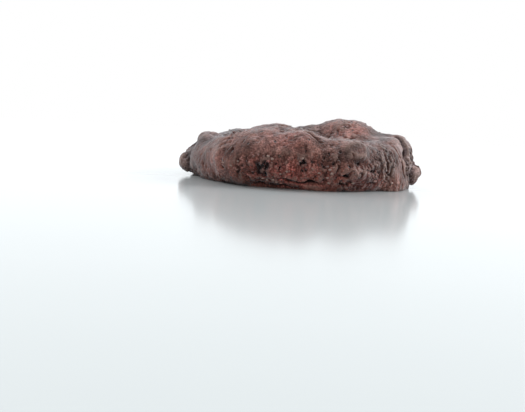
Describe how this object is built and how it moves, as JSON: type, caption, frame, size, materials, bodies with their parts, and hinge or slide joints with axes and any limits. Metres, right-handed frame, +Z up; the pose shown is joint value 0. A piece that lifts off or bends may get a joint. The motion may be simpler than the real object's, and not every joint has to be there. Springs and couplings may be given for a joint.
{
  "type": "chocolate shortbread biscuit",
  "caption": "Thick round chocolate shortbread biscuit with a lumpy cracked top, a bulging crumbly side and a flat baked underside.",
  "frame": {"origin": "middle of the flat underside, under the centre of the biscuit's outline", "axes": "+Z up through the biscuit's thickness, +X to the right and -Y to the front as in the picture, where the higher lump of the top is right of the middle"},
  "size_m": [0.0626, 0.0596, 0.0167],
  "materials": {
    "chocolate_dough": "matte"
  },
  "bodies": {
    "root": {"shortbread": "chocolate_dough"}
  },
  "joints": []
}
